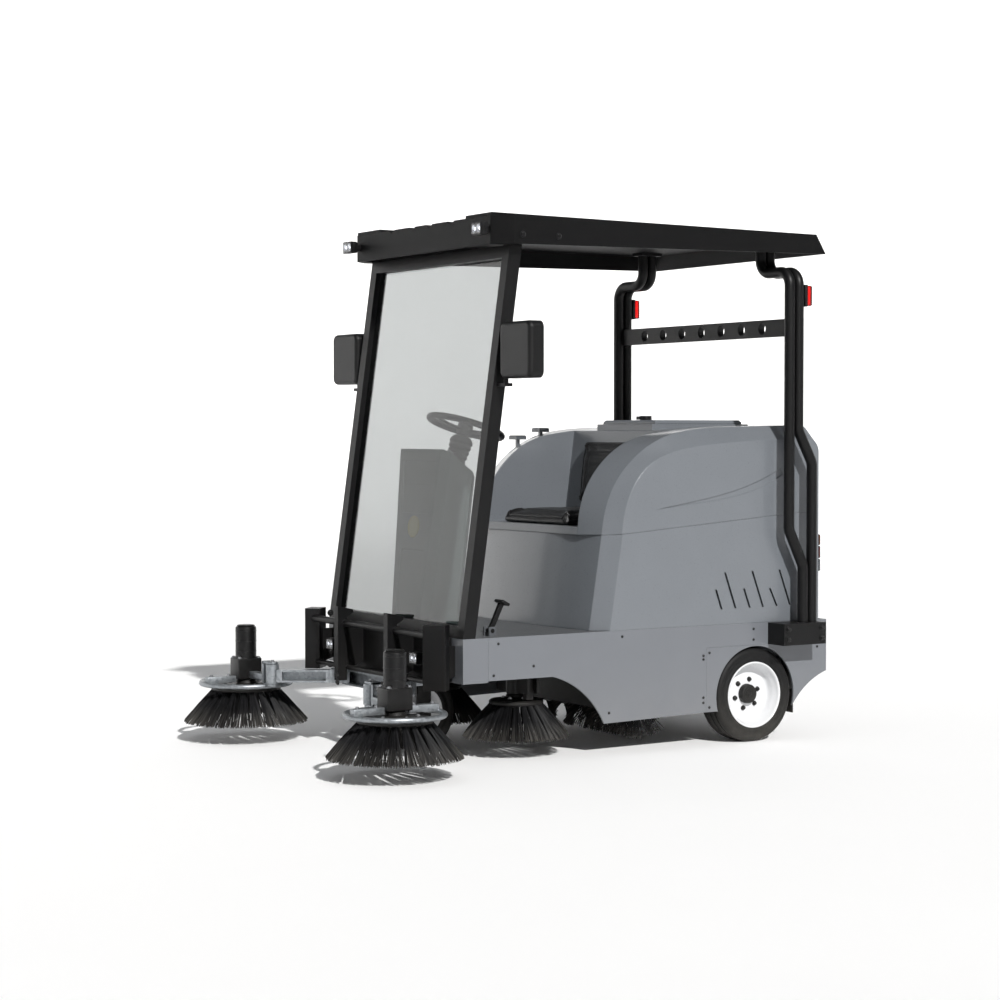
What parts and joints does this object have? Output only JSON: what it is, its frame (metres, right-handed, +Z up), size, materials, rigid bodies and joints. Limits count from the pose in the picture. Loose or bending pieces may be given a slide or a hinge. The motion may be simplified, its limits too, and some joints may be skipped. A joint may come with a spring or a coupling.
{
  "type": "ride on sweeper",
  "caption": "Ride-on floor sweeper with a windshield cab, side brushes on swing arms, a roller under the body, a tilting seat hood and a pull-out dirt hopper.",
  "frame": {"origin": "on the floor, under the middle of the whole outline, brushes included", "axes": "+Z up, the driver faces -Y, the vehicle's left side is +X"},
  "size_m": [1.69, 2.2689, 2.011],
  "materials": {
    "battery_case": "battery cases",
    "black_plastic": "satin black plastic",
    "body_grey": "satin moulded cover",
    "bristle": "black nylon bristles",
    "filter_paper": "pleated filter cassette",
    "frame_black": "satin black painted steel",
    "glass": "clear laminated glass",
    "lamp_clear": "black lamp housings",
    "lamp_red": "red and amber lenses",
    "motor_black": "black painted castings",
    "panel_grey": "satin painted steel",
    "rim_white": "gloss white paint",
    "rubber": "matte rubber",
    "seat_black": "black vinyl",
    "stop_red": "red plastic",
    "tyre": "matte tyre rubber",
    "zinc": "galvanised steel"
  },
  "bodies": {
    "chassis": {"chassis_frame": "frame_black", "floor_deck": "panel_grey", "front_cap": "panel_grey", "side_skirt_left": "panel_grey", "side_skirt_right": "panel_grey", "wheel_cover_left": "panel_grey", "wheel_cover_right": "panel_grey", "front_guard": "frame_black", "arm_beam": "zinc", "base_shell": "body_grey", "battery_pack": "battery_case", "dust_filter": "filter_paper", "vacuum_fan": "motor_black", "brush_housing": "frame_black", "rear_flap": "rubber", "rear_axle": "frame_black", "windshield_frame": "frame_black", "windshield_glass": "glass", "roof_canopy": "black_plastic", "roll_frame": "frame_black", "headlamps": "lamp_clear", "rear_lamps": "lamp_red", "console_shell": "body_grey", "steering_column": "black_plastic", "dashboard": "black_plastic"},
    "front_fork": {"front_fork": "frame_black"},
    "steering_wheel": {"steering_wheel": "black_plastic"},
    "horn_button": {"horn_button": "black_plastic"},
    "front_wheel": {"front_wheel": "tyre"},
    "rear_wheel_left": {"rear_tyre_left": "tyre", "rear_rim_left": "rim_white"},
    "rear_wheel_right": {"rear_tyre_right": "tyre", "rear_rim_right": "rim_white"},
    "hood": {"hood_shell": "body_grey", "seat_cushion": "seat_black", "seat_backrest": "seat_black"},
    "filter_lid": {"filter_lid": "body_grey"},
    "lid_latch": {"lid_latch": "black_plastic"},
    "front_lift_lever": {"front_lift_lever": "body_grey"},
    "main_lift_lever": {"main_lift_lever": "body_grey"},
    "side_arm_left": {"side_arm_left": "zinc"},
    "side_motor_left": {"side_motor_left": "motor_black"},
    "side_brush_left": {"side_brush_left": "bristle"},
    "mid_motor_left": {"mid_motor_left": "motor_black"},
    "mid_brush_left": {"mid_brush_left": "bristle"},
    "mirror_left": {"mirror_left": "black_plastic"},
    "side_arm_right": {"side_arm_right": "zinc"},
    "side_motor_right": {"side_motor_right": "motor_black"},
    "side_brush_right": {"side_brush_right": "bristle"},
    "mid_motor_right": {"mid_motor_right": "motor_black"},
    "mid_brush_right": {"mid_brush_right": "bristle"},
    "mirror_right": {"mirror_right": "black_plastic"},
    "brush_carrier": {"brush_carrier": "frame_black"},
    "main_brush": {"main_brush": "bristle"},
    "hopper": {"hopper_bin": "panel_grey"},
    "drive_pedal": {"drive_pedal": "frame_black"},
    "foot_lever": {"foot_lever": "frame_black"},
    "key_switch": {"key_switch": "black_plastic"},
    "stop_button": {"stop_button": "stop_red"}
  },
  "joints": [
    {"name": "fork_steer", "type": "hinge", "parent": "chassis", "child": "front_fork", "pos_m": [0, -0.4625, 0.4], "axis": [0, 0, 1], "range_deg": [-48, 48]},
    {"name": "steering_turn", "type": "hinge", "parent": "chassis", "child": "steering_wheel", "pos_m": [0, -0.2365, 1.235], "axis": [0, 0.309, 0.9511], "range_deg": [-245, 245]},
    {"name": "horn_press", "type": "slide", "parent": "steering_wheel", "child": "horn_button", "axis": [0, -0.309, -0.9511], "range_m": [0, 0.003], "stiffness_N_per_m": 400, "springref_m": -0.001},
    {"name": "front_wheel_roll", "type": "hinge", "parent": "front_fork", "child": "front_wheel", "pos_m": [0, -0.4625, 0.15], "axis": [1, 0, 0], "continuous": true},
    {"name": "rear_wheel_left_roll", "type": "hinge", "parent": "chassis", "child": "rear_wheel_left", "pos_m": [0.45, 0.7755, 0.185], "axis": [1, 0, 0], "continuous": true},
    {"name": "rear_wheel_right_roll", "type": "hinge", "parent": "chassis", "child": "rear_wheel_right", "pos_m": [-0.45, 0.7755, 0.185], "axis": [1, 0, 0], "continuous": true},
    {"name": "hood_tilt", "type": "hinge", "parent": "chassis", "child": "hood", "pos_m": [0, 1.1015, 0.905], "axis": [-1, 0, 0], "range_deg": [0, 38]},
    {"name": "filter_lid_open", "type": "hinge", "parent": "hood", "child": "filter_lid", "pos_m": [0, 0.9775, 1.255], "axis": [-1, 0, 0], "range_deg": [0, 60]},
    {"name": "lid_latch_turn", "type": "hinge", "parent": "filter_lid", "child": "lid_latch", "pos_m": [0, 0.6175, 1.265], "axis": [0, 0, 1], "range_deg": [0, 90]},
    {"name": "front_lift_lever_pull", "type": "hinge", "parent": "hood", "child": "front_lift_lever", "pos_m": [-0.43, 0.2735, 1.142], "axis": [1, 0, 0], "range_deg": [0, 20.5]},
    {"name": "main_lift_lever_pull", "type": "hinge", "parent": "hood", "child": "main_lift_lever", "pos_m": [-0.43, 0.3865, 1.142], "axis": [1, 0, 0], "range_deg": [0, 20.5]},
    {"name": "side_arm_left_lower", "type": "hinge", "parent": "chassis", "child": "side_arm_left", "pos_m": [0.262, -0.6745, 0.27], "axis": [0.8327, 0.5537, 0], "range_deg": [0, 6.2]},
    {"name": "side_motor_left_swing", "type": "hinge", "parent": "side_arm_left", "child": "side_motor_left", "pos_m": [0.395, -0.8745, 0.28], "axis": [0, 0, 1], "range_deg": [0, 35], "stiffness_Nm_per_rad": 30, "springref_deg": -11.46},
    {"name": "side_brush_left_spin", "type": "hinge", "parent": "side_motor_left", "child": "side_brush_left", "pos_m": [0.6, -0.8895, 0.2], "axis": [0, 0, 1], "continuous": true},
    {"name": "mid_brush_left_lower", "type": "slide", "parent": "chassis", "child": "mid_motor_left", "axis": [0, 0, -1], "range_m": [0, 0.062]},
    {"name": "mid_brush_left_spin", "type": "hinge", "parent": "mid_motor_left", "child": "mid_brush_left", "pos_m": [0.3, -0.1975, 0.2], "axis": [0, 0, 1], "continuous": true},
    {"name": "mirror_left_fold", "type": "hinge", "parent": "chassis", "child": "mirror_left", "pos_m": [0.556, -0.40332, 1.4], "axis": [0, 0, 1], "range_deg": [-25, 42]},
    {"name": "side_arm_right_lower", "type": "hinge", "parent": "chassis", "child": "side_arm_right", "pos_m": [-0.262, -0.6745, 0.27], "axis": [0.8327, -0.5537, 0], "range_deg": [0, 6.3]},
    {"name": "side_motor_right_swing", "type": "hinge", "parent": "side_arm_right", "child": "side_motor_right", "pos_m": [-0.395, -0.8745, 0.28], "axis": [0, 0, -1], "range_deg": [0, 35], "stiffness_Nm_per_rad": 30, "springref_deg": -11.46},
    {"name": "side_brush_right_spin", "type": "hinge", "parent": "side_motor_right", "child": "side_brush_right", "pos_m": [-0.6, -0.8895, 0.2], "axis": [0, 0, 1], "continuous": true},
    {"name": "mid_brush_right_lower", "type": "slide", "parent": "chassis", "child": "mid_motor_right", "axis": [0, 0, -1], "range_m": [0, 0.062]},
    {"name": "mid_brush_right_spin", "type": "hinge", "parent": "mid_motor_right", "child": "mid_brush_right", "pos_m": [-0.3, -0.1975, 0.2], "axis": [0, 0, 1], "continuous": true},
    {"name": "mirror_right_fold", "type": "hinge", "parent": "chassis", "child": "mirror_right", "pos_m": [-0.556, -0.40332, 1.4], "axis": [0, 0, -1], "range_deg": [-25, 42]},
    {"name": "roller_lower", "type": "hinge", "parent": "chassis", "child": "brush_carrier", "pos_m": [0, 0.4895, 0.285], "axis": [1, 0, 0], "range_deg": [0, 8]},
    {"name": "roller_spin", "type": "hinge", "parent": "brush_carrier", "child": "main_brush", "pos_m": [0, 0.3375, 0.173], "axis": [1, 0, 0], "continuous": true},
    {"name": "hopper_pull", "type": "slide", "parent": "chassis", "child": "hopper", "axis": [0, 1, 0], "range_m": [0, 0.5]},
    {"name": "drive_pedal_press", "type": "hinge", "parent": "chassis", "child": "drive_pedal", "pos_m": [-0.25, -0.1485, 0.48], "axis": [1, 0, 0], "range_deg": [0, 12], "stiffness_Nm_per_rad": 8, "springref_deg": -22.92},
    {"name": "foot_lever_press", "type": "hinge", "parent": "chassis", "child": "foot_lever", "pos_m": [0.44, -0.4025, 0.488], "axis": [1, 0, 0], "range_deg": [0, 20], "stiffness_Nm_per_rad": 8, "springref_deg": -22.92},
    {"name": "key_turn", "type": "hinge", "parent": "chassis", "child": "key_switch", "pos_m": [0.095, -0.37516, 1.12138], "axis": [0, 0.5851, 0.8109], "range_deg": [-90, 0]},
    {"name": "stop_press", "type": "slide", "parent": "chassis", "child": "stop_button", "axis": [0, -0.5851, -0.8109], "range_m": [0, 0.005], "stiffness_N_per_m": 500, "springref_m": -0.001}
  ],
  "couplings": [
    {"joint": "steering_turn", "follows": "fork_steer", "ratio": 5},
    {"joint": "side_arm_right_lower", "follows": "side_arm_left_lower", "ratio": 1},
    {"joint": "front_lift_lever_pull", "follows": "side_arm_left_lower", "ratio": 3.3},
    {"joint": "mid_brush_left_lower", "follows": "roller_lower", "m_per_rad": 0.43688},
    {"joint": "mid_brush_right_lower", "follows": "roller_lower", "m_per_rad": 0.43688},
    {"joint": "main_lift_lever_pull", "follows": "roller_lower", "ratio": 2.5}
  ]
}
